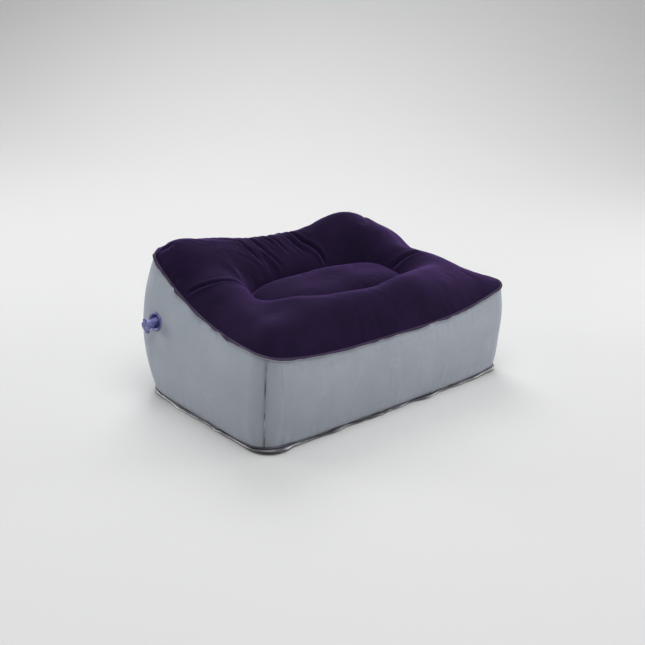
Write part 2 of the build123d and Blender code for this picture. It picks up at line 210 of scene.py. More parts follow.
def crown_height(x, y):
    """Smooth height of the crown: bolster all round, dish and island."""
    to_rear = smooth((y - 40) / 50)
    inward = np.clip(edge_distance(x, y) / (50 - 16 * to_rear), 0, 1)
    rise = 1 - (1 - inward) ** 2.4
    crown = BOLSTER - REAR_BOLSTER_LOSS * smooth(y / 60) - REAR_SETBACK_DROP * to_rear
    not_rear = 1 - smooth((y - 44) / 44)
    right_loss = RIGHT_BOLSTER_LOSS * smooth((x - 50) / 150) * not_rear + 8 * mound(x, y, 198, -92, 36)
    left_loss = LEFT_BOLSTER_LOSS * smooth((-x - 110) / 80) * not_rear * smooth((y + HALF_DEPTH - 12.5) / 50)
    crown = crown - np.where(x > 0, right_loss, left_loss)
    for height, centre_x, centre_y, spread in CROWN_SWELLINGS:
        crown = crown + height * mound(x, y, centre_x, centre_y, spread)
    z = seam_height(x, y) + crown * rise
    weld = OVAL_WELD + OVAL_TILT * (y - DISH_Y)
    oval = oval_share(x, y)
    island = weld + (ISLAND + 4 * smooth((-x - 30) / 70)) * np.sqrt(np.clip(1 - oval**3.2, 0, 1))
    outside = np.maximum(0, oval - 1) * np.hypot(x, y - DISH_Y) / oval
    slope = DISH_SLOPE + 3 * to_rear
    climb = 1 - (1 - np.clip(outside / slope, 0, 1)) ** 2.3
    return np.where(oval < 1, island, weld + (z - weld) * climb) + 1.7


def crease(x, y, route, depth, width, fade=0.25):
    """Depth of a pinched fold along a route of plan points, fading towards both ends."""
    best = np.full(x.shape, 1e9)
    share = np.zeros_like(x)
    lengths = [np.hypot(b[0] - a[0], b[1] - a[1]) for a, b in zip(route, route[1:])]
    run = 0.0
    side = np.zeros_like(x)
    for (a, b), length in zip(zip(route, route[1:]), lengths):
        way = np.array([b[0] - a[0], b[1] - a[1]]) / length
        along = np.clip((x - a[0]) * way[0] + (y - a[1]) * way[1], 0, length)
        off_x, off_y = x - a[0] - along * way[0], y - a[1] - along * way[1]
        away = np.hypot(off_x, off_y)
        nearer = away < best
        best = np.where(nearer, away, best)
        share = np.where(nearer, (run + along) / sum(lengths), share)
        side = np.where(nearer, off_x * -way[1] + off_y * way[0], side)
        run += length
    ends = smooth(share / fade) * smooth((1 - share) / fade)
    lips = np.exp(-(((np.abs(side) - 2.6 * width) / (1.6 * width)) ** 2))
    pinch = np.exp(-np.abs(side) / width) - 0.35 * lips
    near = np.exp(-((np.maximum(0, best - np.abs(side))) ** 2) / (2 * width**2))
    return depth * pinch * ends * near


CREASES = [
    # route in plan, depth, half width, share of the length that fades at each end
    (
        [(-119, 34), (-135, 31), (-150, 27), (-170, 23), (-189, 23), (-204, 28), (-217, 37), (-227, 44)],
        3.2,
        1.5,
        0.1,
    ),
    ([(128, 22), (142, 17), (153, 14), (166, 12), (190, 10)], 4.0, 2.4, 0.18),
    ([(3, 116), (7, 99), (12, 89), (21, 81), (29, 73), (37, 60)], 3.4, 1.9, 0.12),
    ([(-104, 108), (-97, 87), (-87, 74), (-74, 66)], 1.5, 2.0, 0.3),
    ([(-78, 112), (-71, 93), (-58, 77), (-39, 63)], 2.1, 2.0, 0.25),
    ([(-58, 116), (-52, 102), (-44, 92), (-34, 82)], 1.1, 1.6, 0.35),
    ([(-42, 114), (-37, 99), (-27, 84), (-18, 75)], 1.7, 1.8, 0.3),
    ([(-16, 114), (-10, 99), (0, 85), (9, 74)], 1.7, 1.8, 0.3),
    ([(-156, 64), (-146, 50), (-134, 38)], -1.5, 6.0, 0.4),
    ([(-222, 110), (-213, 102), (-202, 97)], 2.2, 2.0, 0.35),
    ([(150, 116), (146, 96), (138, 78)], 1.2, 3.0, 0.4),
]


def crown_detail(x, y, around):
    """What the plain crown lacks: creases, seam puckers, pulls round the weld line, and lumps."""
    depth = np.zeros_like(x)
    for route, deep, width, fade in CREASES:
        depth -= crease(x, y, route, deep, width, fade)
    inset = np.maximum(0, edge_distance(x, y))
    pucker = waves(around, 9, 60, 150, 3) * (0.6 + 0.4 * waves(around, 4, 3, 11, 5))
    rear = smooth((y - 70) / 40)
    gather = 0.10 + 0.5 * rear * mound(x, 0, -30, 0, 70)
    depth += gather * pucker * np.exp(-inset / (9 + 14 * rear)) * smooth(inset / 3)
    oval = oval_share(x, y)
    reach = np.abs(oval - 1) * np.hypot(x, y - DISH_Y) / oval
    bearing = (np.arctan2((y - DISH_Y) / DISH_HALF_WIDTH, x / DISH_HALF_LENGTH) / (2 * np.pi)) % 1.0
    pulls = waves(bearing, 7, 18, 46, 11)
    depth += 0.22 * pulls * np.exp(-reach / 12) * smooth(reach / 5)
    depth += 0.7 * lumps(x, y, 70, 160, 17) * smooth(inset / 25)
    return depth


# ---------------------------------------------------------------- rim


def rim_stations(count):
    """Points, outward normals and share of the way round, evenly spaced along the weld outline."""
    straight_x, straight_y, arc = 2 * CORNER_X, 2 * CORNER_Y, np.pi * CORNER / 2
    lengths = np.array([straight_x, arc, straight_y, arc, straight_x, arc, straight_y, arc])
    starts = np.concatenate([[0], np.cumsum(lengths)])
    walked = np.arange(count) / count * starts[-1]
    leg = np.searchsorted(starts, walked, side="right") - 1
    part = (walked - starts[leg]) / lengths[leg]
    quarter = leg // 2
    is_arc = leg % 2 == 1
    angle = (quarter - 1) * np.pi / 2 + np.where(is_arc, part * np.pi / 2, 0)
    centre_x = np.array([-CORNER_X, CORNER_X, CORNER_X, -CORNER_X])
    centre_y = np.array([-CORNER_Y, -CORNER_Y, CORNER_Y, CORNER_Y])
    after = (quarter + 1) % 4
    part = np.where(is_arc, 1, part)
    spine_x = centre_x[quarter] + part * (centre_x[after] - centre_x[quarter])
    spine_y = centre_y[quarter] + part * (centre_y[after] - centre_y[quarter])
    return spine_x, spine_y, np.cos(angle), np.sin(angle), walked / starts[-1]


KINKS = [
    # place round the loop, spread, change of width, lift in millimetres
    (0.196, 0.0032, -0.45, -1.4),
    (0.203, 0.0030, 0.30, 1.3),
    (0.253, 0.0030, -0.40, -1.1),
    (0.271, 0.0034, 0.30, 1.5),
    (0.836, 0.0040, 0.35, 1.2),
    (0.852, 0.0036, -0.55, -1.8),
    (0.859, 0.0030, 0.45, 1.5),
    (0.905, 0.0040, -0.30, -1.0),
    (0.560, 0.0040, -0.35, 1.2),
    (0.660, 0.0040, 0.30, -1.2),
]


def margin(around, which):
    """How wide the weld margin is and how far its edge waves up, round the loop."""
    patches = np.maximum(0, waves(around, 5, 4, 13, 61))
    if which == "upper":
        width = LIP * (0.80 + 0.10 * waves(around, 8, 12, 40, 21))
        lift = 0.55 * patches * waves(around, 9, 35, 80, 23) + 0.7 * waves(around, 6, 8, 25, 24)
        for centre, spread, wider, higher in KINKS:
            bell = np.exp(-(((around - centre) / spread) ** 2))
            width = width + LIP * wider * bell
            lift = lift + higher * bell
    else:
        width = LIP * (0.70 + 0.12 * waves(around, 8, 8, 36, 31))
        lift = 0.5 * patches * waves(around, 9, 20, 60, 33) + 0.6 * waves(around, 6, 6, 20, 34)
    return width, lift


# ---------------------------------------------------------------- mesh helpers


def make_mesh(name, grid, closed_columns, materials, margins=(0, 0), fins=0, cap=False, hole=None):
    """A smooth mesh from a grid of points in millimetres.

    margins are the rows at its start and end, and fins the columns at each side, that take other
    materials. cap closes the last row, and hole says which faces are left out.
    """
    rows, columns = grid.shape[:2]
    index = np.arange(rows * columns).reshape(rows, columns)
    following = np.roll(index, -1, axis=1) if closed_columns else index[:, 1:]
    current = index if closed_columns else index[:, :-1]
    quads = np.stack([current[:-1], following[:-1], following[1:], current[1:]], -1).reshape(-1, 4)
    faces = quads.tolist()
    if cap:
        faces.append(index[-1].tolist())
    slots = np.zeros((rows - 1, following.shape[1]), dtype=np.int32)
    slots[: margins[0]] = 1
    if margins[1]:
        slots[-margins[1] :] = len(materials) - 1
    if fins:
        slots[margins[0] : -margins[1], :fins] = 2
        slots[margins[0] : -margins[1], -fins:] = 2
    slots = slots.reshape(-1).tolist() + [0] * (len(faces) - slots.size)
    if hole is not None:
        keep = ~hole(grid.reshape(-1, 3)[quads].mean(axis=1))
        faces = quads[keep].tolist()
        slots = np.array(slots)[keep].tolist()
    mesh = bpy.data.meshes.new(name)
    mesh.from_pydata((grid.reshape(-1, 3) * MM).tolist(), [], faces)
    mesh.shade_smooth()
    for material in materials:
        mesh.materials.append(material)
    mesh.polygons.foreach_set("material_index", slots)
    piece = bpy.data.objects.new(name, mesh)
    bpy.context.scene.collection.objects.link(piece)
    return piece


def thicken(piece, thickness, offset=-1.0):
    """Give an open sheet its film thickness."""
    solid = piece.modifiers.new("film", "SOLIDIFY")
    solid.thickness = thickness * MM
    solid.offset = offset
    apply_modifier(piece, solid)


def apply_modifier(piece, modifier):
    bpy.context.view_layer.objects.active = piece
    with bpy.context.temp_override(object=piece, active_object=piece):
        bpy.ops.object.modifier_apply(modifier=modifier.name)
    piece.data.shade_smooth()


# ---------------------------------------------------------------- crown


MARGIN_ROWS = 4  # rows across a weld margin
DOME_ROWS = 96  # rows from the seam to the oval weld line


def crown_grid(count):
    """Rows of points from the margin's edge, over the bolster, into the dish and over the island."""
    spine_x, spine_y, out_x, out_y, around = rim_stations(count)
    rim_x, rim_y = spine_x + CORNER * out_x, spine_y + CORNER * out_y
    width, lift = margin(around, "upper")
    rows = []
    for share in (1.0, 0.85, 0.5, 0.15):
        grow = width * share
        z = seam_height(rim_x, rim_y) + 1.5 + lift * share - 1.2 * share**2
        rows.append(np.stack([rim_x + grow * out_x, rim_y + grow * out_y, z], -1))
    bearing = np.arctan2((rim_y - DISH_Y) / HALF_DEPTH, rim_x / HALF_WIDTH)
    cosine, sine = np.cos(bearing), np.sin(bearing)
    squarer = (np.abs(cosine) ** DISH_SQUARENESS + np.abs(sine) ** DISH_SQUARENESS) ** (-1 / DISH_SQUARENESS)
    weld_x = DISH_HALF_LENGTH * cosine * squarer
    weld_y = DISH_Y + DISH_HALF_WIDTH * sine * squarer
    travel = np.linspace(0, 1, DOME_ROWS)
    shares = 0.5 * travel**1.7 + 0.5 * (1 - (1 - travel) ** 1.35)
    for share in shares:
        x = rim_x + (weld_x - rim_x) * share
        y = rim_y + (weld_y - rim_y) * share
        rows.append(np.stack([x, y, crown_height(x, y)], -1))
    for share in 1 - np.linspace(0, 1, 46)[1:-1] ** 1.5:
        x, y = weld_x * share, DISH_Y + (weld_y - DISH_Y) * share
        rows.append(np.stack([x, y, crown_height(x, y)], -1))
    return np.stack(rows), around


def grid_normals(grid, closed):
    """Unit normals of a grid of points, upwards on the crown and outwards on the walls."""
    down = np.gradient(grid, axis=0)
    if closed:
        along = (np.roll(grid, -1, axis=1) - np.roll(grid, 1, axis=1)) / 2
    else:
        along = np.gradient(grid, axis=1)
    normals = np.cross(along, down)
    return normals / np.maximum(1e-9, np.linalg.norm(normals, axis=-1, keepdims=True))


SIM_COLUMNS, SIM_ROWS = 4, 2  # the simulated mesh keeps one column in four and one row in two
SIM_FRAMES = 20


def blur(values, rows, columns, closed):
    """Average over a window of grid cells, twice, for a smooth result."""
    for _ in range(2):
        for axis, reach in ((0, rows), (1, columns)):
            mode = "wrap" if closed and axis == 1 else "edge"
            pad = [(0, 0)] * 3
            pad[axis] = (reach, reach)
            total = np.cumsum(np.pad(values, pad, mode=mode), axis=axis)
            zero = np.zeros_like(np.take(total, [0], axis=axis))
            total = np.concatenate([zero, total], axis=axis)
            size = values.shape[axis]
            upper = np.take(total, range(2 * reach + 1, 2 * reach + 1 + size), axis=axis)
            values = (upper - np.take(total, range(size), axis=axis)) / (2 * reach + 1)
    return values


def simulate(name, grid, closed, held_rows, looseness, most, strength):
    """Wrinkles that air pressure leaves in a slightly loose sheet held at its welds, as offsets.

    most caps how far the film may move, in millimetres, and strength scales it point by point.
    """
    rows, columns = grid.shape[:2]
    some_rows = np.unique(np.append(np.arange(0, rows, SIM_ROWS), [rows - 1, *held_rows]))
    some_columns = np.arange(0, columns, SIM_COLUMNS)
    if not closed:
        some_columns = np.unique(np.append(some_columns, columns - 1))
    coarse = grid[np.ix_(some_rows, some_columns)]
    piece = make_mesh(name, coarse, closed, [])
    held = piece.vertex_groups.new(name="welds")
    index = np.arange(coarse.shape[0] * coarse.shape[1]).reshape(coarse.shape[:2])
    held.add(index[np.isin(some_rows, held_rows)].reshape(-1).tolist(), 1.0, "REPLACE")
    if not closed:
        held.add(index[:, [0, -1]].reshape(-1).tolist(), 1.0, "REPLACE")
    cloth = piece.modifiers.new("cloth", "CLOTH")
    setting = cloth.settings
    setting.quality = 6
    setting.mass = 0.05
    setting.tension_stiffness = 25
    setting.compression_stiffness = 25
    setting.shear_stiffness = 12
    setting.bending_stiffness = 0.15
    setting.vertex_group_mass = "welds"
    setting.shrink_min = -looseness
    setting.use_pressure = True
    setting.uniform_pressure_force = 4
    setting.effector_weights.gravity = 0
    cloth.collision_settings.use_collision = False
    cloth.collision_settings.use_self_collision = False
    cloth.point_cache.frame_end = SIM_FRAMES
    for step in range(1, SIM_FRAMES + 1):
        bpy.context.scene.frame_set(step)
    graph = bpy.context.evaluated_depsgraph_get()
    result = piece.evaluated_get(graph).to_mesh()
    places = np.empty(len(result.vertices) * 3)
    result.vertices.foreach_get("co", places)
    shift = places.reshape(coarse.shape) / MM - coarse
    piece.evaluated_get(graph).to_mesh_clear()
    bpy.data.objects.remove(piece, do_unlink=True)
    bpy.context.scene.frame_set(1)
    if not np.isfinite(shift).all():
        return np.zeros_like(grid)
    shift = shift - blur(shift, 6, 6, closed)
    size = np.linalg.norm(shift, axis=-1, keepdims=True)
    shift = shift * (most * np.tanh(size / most) / np.maximum(1e-9, size))
    shift[np.isin(some_rows, held_rows)] = 0
    if not closed:
        from_end = np.minimum(np.arange(len(some_columns)), np.arange(len(some_columns))[::-1])
        shift *= smooth(from_end / 10)[None, :, None]
    fine = np.empty((rows, len(some_columns), 3))
    for k in range(3):
        for j in range(len(some_columns)):
            fine[:, j, k] = np.interp(np.arange(rows), some_rows, shift[:, j, k])
    full = np.empty_like(grid)
    across = np.append(some_columns, columns) if closed else some_columns
    for k in range(3):
        for i in range(rows):
            line = np.append(fine[i, :, k], fine[i, 0, k]) if closed else fine[i, :, k]
            full[i, :, k] = np.interp(np.arange(columns), across, line)
    return full * strength[..., None]


def make_crown(materials):
    """The flocked top sheet with its margin, creases and island."""
    grid, around = crown_grid(960)
    normals = grid_normals(grid, closed=True)
    detail = crown_detail(grid[..., 0], grid[..., 1], np.broadcast_to(around, grid.shape[:2]))
    detail[:MARGIN_ROWS] = 0
    grid = grid + normals * detail[..., None]
    held = [*range(MARGIN_ROWS + 1), MARGIN_ROWS + DOME_ROWS - 1, len(grid) - 1]
    strength = 0.3 + 0.7 * smooth((grid[..., 1] - 40) / 40)
    grid = grid + simulate("crown_trial", grid, True, held, 0.015, 1.7, strength)
    crown = make_mesh("crown_sheet", grid, True, materials, margins=(MARGIN_ROWS, 0), cap=True)
    thicken(crown, FILM)
    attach(crown, "crown")
    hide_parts("top_panel")


# ---------------------------------------------------------------- walls

WALL_ROWS = 84
WALL_BOW = 0.09  # how far a wall bows out, as a share of its height


def wall_bulge(x, y, share):
    """How far a wall bows out, at a share of its height."""
    height = seam_height(x, y) - base_seam_height(x, y)
    held = np.where((x < 0) & (y > 0), 0.0, 0.75 * corner_share(x, y))
    return WALL_BOW * height * (1 - held) * np.sin(np.pi * share) ** 0.9


def wall_stations(turned, count):
    """Stations of one L-shaped wall, between the middles of two welded corner arcs."""
    spine_x, spine_y, out_x, out_y, around = rim_stations(2 * count)
    from_diagonal = np.abs(np.arctan2(out_y, out_x) + 0.75 * np.pi)
    start = np.argmin(np.hypot(spine_x + CORNER_X, spine_y + CORNER_Y) + from_diagonal * CORNER)
    order = (np.arange(count + 1) + start + (count if turned else 0)) % (2 * count)
    return tuple(values[order] for values in (spine_x, spine_y, out_x, out_y, around))


def make_wall(name, node, turned, materials):
    """One flocked wall film with its upper, lower and corner margins."""
    spine_x, spine_y, out_x, out_y, around = wall_stations(turned, 620)
    rim_x, rim_y = spine_x + CORNER * out_x, spine_y + CORNER * out_y
    top, bottom = seam_height(rim_x, rim_y), base_seam_height(rim_x, rim_y)
    rows = []
    width, lift = margin(around, "upper")
    for share in (0.97, 0.8, 0.45, 0.12):
        z = top + 0.6 + lift * share - 1.2 * share**2
        rows.append(np.stack([rim_x + width * share * out_x, rim_y + width * share * out_y, z], -1))
    flutes = waves(around, 9, 50, 130, 41) * (0.6 + 0.4 * waves(around, 4, 3, 9, 43))
    low_flutes = waves(around, 9, 40, 110, 45) * (0.6 + 0.4 * waves(around, 4, 3, 9, 47))
    for share in 1 - np.linspace(0, 1, WALL_ROWS):
        height = top - bottom
        from_top, from_bottom = height * (1 - share), height * share
        proud = wall_bulge(rim_x, rim_y, share)
        proud = proud + 0.22 * flutes * np.exp(-from_top / 12) * smooth(from_top / 5)
        proud = proud + 0.35 * low_flutes * np.exp(-from_bottom / 12) * smooth(from_bottom / 5)
        proud = proud + 0.5 * lumps(around * 1360, from_bottom, 60, 160, 51) * np.sin(np.pi * share)
        reach = CORNER + proud
        rows.append(np.stack([spine_x + reach * out_x, spine_y + reach * out_y, bottom + height * share], -1))
    width, lift = margin(around, "lower")
    for share in (0.12, 0.45, 0.8, 0.97):
        z = bottom + 0.3 + lift * share + 0.6 * share**2
        rows.append(np.stack([rim_x + width * share * out_x, rim_y + width * share * out_y, z], -1))
    grid = np.stack(rows)
    held = [*range(MARGIN_ROWS + 1), *range(len(grid) - MARGIN_ROWS - 1, len(grid))]
    away = np.linalg.norm(grid - valve_centre, axis=-1)
    strength = smooth((away - 22) / 25)
    grid = grid + simulate(name + "_trial", grid, False, held, 0.006, 0.3, strength)
    grid = np.concatenate([corner_margin(grid, 0, 1), grid, corner_margin(grid, -1, -1)[:, ::-1]], axis=1)
    hole = in_valve_hole if turned else None
    wall = make_mesh(name, grid, False, materials, margins=(MARGIN_ROWS, MARGIN_ROWS), fins=3, hole=hole)
    thicken(wall, FILM)
    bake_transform(wall)
    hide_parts(node)


HOLE_RADIUS = 10.6
# The flange's radii, and how far it stands off the wall at each.
FLANGE = [(8.8, -2.4), (9.3, -0.8), (9.9, 0.4), (10.6, 0.7), (11.4, 0.6), (12.2, 0.45), (12.7, 0.3)]


def in_valve_hole(places):
    """Whether points of the wall lie in the hole that the valve comes through."""
    away = np.hypot(places[:, 1] - valve_centre[1], places[:, 2] - valve_centre[2])
    return (places[:, 0] < 0) & (away < HOLE_RADIUS)


def make_flange(material):
    """The moulded ring that is welded to the outside of the wall around the valve."""
    turn = np.linspace(0, 2 * np.pi, 96, endpoint=False)
    rows = []
    ripple = 0.25 * np.sin(5 * turn + 1) + 0.15 * np.sin(11 * turn)
    for radius, proud in FLANGE:
        reach = radius + ripple * (radius > 11)
        y = valve_centre[1] + reach * np.cos(turn)
        z = valve_centre[2] + reach * np.sin(turn)
        past = np.maximum(0, y - CORNER_Y)
        outline = CORNER_X + np.sqrt(CORNER**2 - past**2)
        seam, foot = seam_height(-outline, y), base_seam_height(-outline, y)
        bow = wall_bulge(-outline, y, (z - foot) / (seam - foot))
        rows.append(np.stack([-(outline + bow + proud), y, z], -1))
    flange = make_mesh("valve_flange", np.stack(rows)[::-1], True, [material])
    thicken(flange, 0.5)
    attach(flange, "envelope")


VENT_CENTRES = (-75, -25, 25, 75)
VENT_HEIGHT = 62
VENT_RADIUS = 9


def make_tether(material):
    """The inner band that holds the dish down, with its air holes."""
    low, high = (np.array(corner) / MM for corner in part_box("tether_band"))
    inset = 0.6  # the visible band stands this far inside the CAD one
    half_length, half_width = (high[:2] - low[:2]) / 2 - inset
    turn = np.linspace(0, 2 * np.pi, 480, endpoint=False)
    x, y = half_length * np.cos(turn), DISH_Y + half_width * np.sin(turn)
    top = high[2] - OVAL_TILT * (half_width + inset - (y - DISH_Y))
    sag = 0.5 * np.sin(9 * turn) + 0.3 * np.sin(23 * turn + 1)
    rows = []
    for share in np.linspace(0, 1, 72):
        z = low[2] + (top - low[2]) * share
        give = 1 + sag * np.sin(np.pi * share) / half_length
        rows.append(np.stack([x * give, DISH_Y + (y - DISH_Y) * give, z], -1))

    def in_vent(places):
        above = places[:, 2] - VENT_HEIGHT
        near = [np.hypot(places[:, 0] - centre, above) < VENT_RADIUS for centre in VENT_CENTRES]
        return np.any(near, axis=0)

    band = make_mesh("tether_skirt", np.stack(rows)[::-1], True, [material], hole=in_vent)
    thicken(band, TETHER_FILM)
    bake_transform(band)
    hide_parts("tether_band")


def make_strap(material):
    """The soft strap that ties the plug to the stem, from the record's plug_swing hinge."""
    joints = {joint["name"]: joint for joint in frame["joints"]}
    pivot = np.array(joints["plug_swing"]["pos_m"]) / MM
    out = np.array(joints["stem_push"]["axis"])
    across = -np.array(joints["plug_swing"]["axis"])
    up = np.cross(across, out)
    path = [(1.7, -1.75), (0.9, -1.75), (0.0, -1.7)]
    for angle in np.radians(np.linspace(-90, 90, 15)):
        path.append((-0.25 - 1.9 * np.cos(angle), 0.45 + 2.1 * np.sin(angle)))
    path += [(0.2, 2.6), (1.0, 2.55)]
    rows = []
    for k, (inward, along) in enumerate(path):
        half = 2.0 - 0.35 * np.sin(np.pi * k / (len(path) - 1))
        side = np.linspace(-half, half, 9)
        crown = 0.12 * (1 - (side / half) ** 2)
        rows.append(pivot + (inward - crown)[:, None] * up + along * out + side[:, None] * across)
    strap = make_mesh("plug_tie", np.stack(rows), False, [material])
    thicken(strap, 0.8, offset=0.0)
    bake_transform(strap)
    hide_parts("plug_strap")


CORNER_MARGIN = 3.2


def corner_margin(grid, column, side):
    """Extra columns that fold the film outwards along a welded corner."""
    edge = grid[:, column]
    centre = np.array([np.sign(edge[0, 0]) * CORNER_X, np.sign(edge[0, 1]) * CORNER_Y])
    outward = edge[:, :2] - centre
    outward = outward / np.linalg.norm(outward, axis=1, keepdims=True)
    rows = np.arange(len(edge))
    wavy = 0.85 + 0.12 * np.sin(rows * 0.9) + 0.1 * np.sin(rows * 0.37 + 2)
    wavy[:MARGIN_ROWS] = 0
    wavy[-MARGIN_ROWS:] = 0
    columns = []
    for share in (1.0, 0.6, 0.25):
        points = edge.copy()
        points[:, :2] += outward * (CORNER_MARGIN * share * wavy)[:, None]
        columns.append(points)
    return np.stack(columns, axis=1)


# ---------------------------------------------------------------- base


def make_base(material):
    """The glossy base sheet: its margin, the roll below the weld, and the flat that rests."""
    spine_x, spine_y, out_x, out_y, around = rim_stations(960)
    rim_x, rim_y = spine_x + CORNER * out_x, spine_y + CORNER * out_y
    bottom = base_seam_height(rim_x, rim_y)
    width, lift = margin(around, "lower")
    swell = 1.0 + 0.5 * waves(around, 8, 12, 50, 61)
    rows = []
    width = width + 1.6 * np.maximum(0, waves(around, 6, 4, 16, 63))
    for share in (1.0, 0.6, 0.1):
        z = np.maximum(0.6, bottom - 0.6 + lift * share - 1.6 * share**2)
        rows.append(np.stack([rim_x + width * share * out_x, rim_y + width * share * out_y, z], -1))
    for turn in np.linspace(0, 1, 14)[1:]:
        grow = swell * np.sin(np.pi * turn) - 15 * (1 - np.cos(turn * np.pi / 2))
        z = (bottom - 0.5) * (1 - np.sin(turn * np.pi / 2))
        rows.append(np.stack([rim_x + grow * out_x, rim_y + grow * out_y, z], -1))
    for share in (0.7, 0.35):
        rows.append(np.stack([rim_x * share, rim_y * share, np.zeros_like(rim_x)], -1))
    base = make_mesh("base_sheet", np.stack(rows), True, [material], cap=True)
    thicken(base, FILM)
    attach(base, "envelope")
    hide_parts("base_panel")


# ---------------------------------------------------------------- materials


class Shader:
    """A small helper that adds and joins nodes in one material."""

    def __init__(self, name):
        self.material = bpy.data.materials.new(name)
        self.material.use_nodes = True
        self.tree = self.material.node_tree
        self.surface = self.tree.nodes["Principled BSDF"]
        self.place = self.add("ShaderNodeTexCoord").outputs["Object"]

    def add(self, kind, inputs=None, **settings):
        """A new node, with values or links on its inputs."""
        node = self.tree.nodes.new(kind)
        for key, value in settings.items():
            setattr(node, key, value)
        for key, value in (inputs or {}).items():
            if isinstance(value, bpy.types.NodeSocket):
                self.tree.links.new(value, node.inputs[key])
            else:
                node.inputs[key].default_value = value
        return node

    def noise(self, scale, detail=3.0, stretch=(1, 1, 1), rough=0.55):
        """Cloudy noise from 0 to 1, stretched along an axis for streaks."""
        place = self.place
        if stretch != (1, 1, 1):
            place = self.add("ShaderNodeMapping", {"Vector": self.place, "Scale": stretch}).outputs[0]
        inputs = {"Vector": place, "Scale": scale, "Detail": detail, "Roughness": rough}
        node = self.add("ShaderNodeTexNoise", inputs)
        return node.outputs["Fac"]

    def ramp(self, value, stops):
        """A colour for each value, from stops of position and colour."""
        node = self.add("ShaderNodeValToRGB", {"Fac": value})
        while len(node.color_ramp.elements) < len(stops):
            node.color_ramp.elements.new(0.5)
        for element, (position, color) in zip(node.color_ramp.elements, stops):
            element.position = position
            element.color = (*color, 1.0)
        return node.outputs["Color"]

    def mix(self, factor, a, b, blend="MIX"):
        """Two colours joined, each a tuple or another node's output."""
        node = self.add("ShaderNodeMix", data_type="RGBA", blend_type=blend)
        for socket, value in ((node.inputs[0], factor), (node.inputs[6], a), (node.inputs[7], b)):
            if isinstance(value, bpy.types.NodeSocket):
                self.tree.links.new(value, socket)
            elif isinstance(value, tuple):
                socket.default_value = (*value, 1.0)
            else:
                socket.default_value = value
        return node.outputs[2]

    def scale(self, value, low, high):
        """A value from 0 to 1 stretched to run from low to high."""
        node = self.add("ShaderNodeMapRange", {"Value": value, "To Min": low, "To Max": high})
        return node.outputs["Result"]

    def bump(self, height, distance, strength=1.0, under=None):
        """Fine relief, with the distance in millimetres, over another bump or none."""
        inputs = {"Height": height, "Distance": distance * MM, "Strength": strength}
        if under is not None:
            inputs["Normal"] = under
        return self.add("ShaderNodeBump", inputs).outputs["Normal"]

    def finish(self, **sockets):
        """Set or link the surface's sockets, named with underscores for spaces."""
        for key, value in sockets.items():
            socket = self.surface.inputs[key.replace("_", " ")]
            if isinstance(value, bpy.types.NodeSocket):
                self.tree.links.new(value, socket)
            elif isinstance(value, tuple) and len(value) == 3 and len(socket.default_value) == 4:
                socket.default_value = (*value, 1.0)
            else:
                socket.default_value = value
        return self.material


def purple_flock():
    """Short dense purple flock that catches light at a grazing angle."""
    shader = Shader("purple_flock")
    nap = shader.noise(26, 4, rough=0.6)
    cloud = shader.noise(6, 3)
    fibre = shader.noise(2600, 2)
    tone = shader.ramp(cloud, [(0.32, (0.0118, 0.0058, 0.0235)), (0.68, (0.0162, 0.0079, 0.0318))])
    brushed = shader.ramp(nap, [(0.40, (0.86, 0.86, 0.86)), (0.62, (1.1, 1.1, 1.12))])
    tone = shader.mix(1.0, tone, brushed, "MULTIPLY")
    speck = shader.ramp(fibre, [(0.35, (0.8, 0.8, 0.82)), (0.7, (1.2, 1.2, 1.24))])
    tone = shader.mix(1.0, tone, speck, "MULTIPLY")
    scuffs = shader.noise(8, 2, stretch=(0.8, 6, 6))
    thin = shader.ramp(scuffs, [(0.497, (0, 0, 0)), (0.502, (0.4, 0.4, 0.4)), (0.507, (0, 0, 0))])
    patches = shader.ramp(shader.noise(9, 2), [(0.58, (0, 0, 0)), (0.75, (1, 1, 1))])
    marks = shader.mix(1.0, thin, patches, "MULTIPLY")
    tone = shader.mix(marks, tone, (0.055, 0.040, 0.085))
    rough = shader.scale(nap, 0.86, 1.0)
    normal = shader.bump(fibre, 0.25, 0.6, shader.bump(nap, 0.5, 0.3))
    return shader.finish(
        Base_Color=tone,
        Roughness=rough,
        Normal=normal,
        Sheen_Weight=0.66,
        Sheen_Roughness=0.32,
        Sheen_Tint=(0.42, 0.20, 0.78),
        Specular_IOR_Level=0.08,
    )


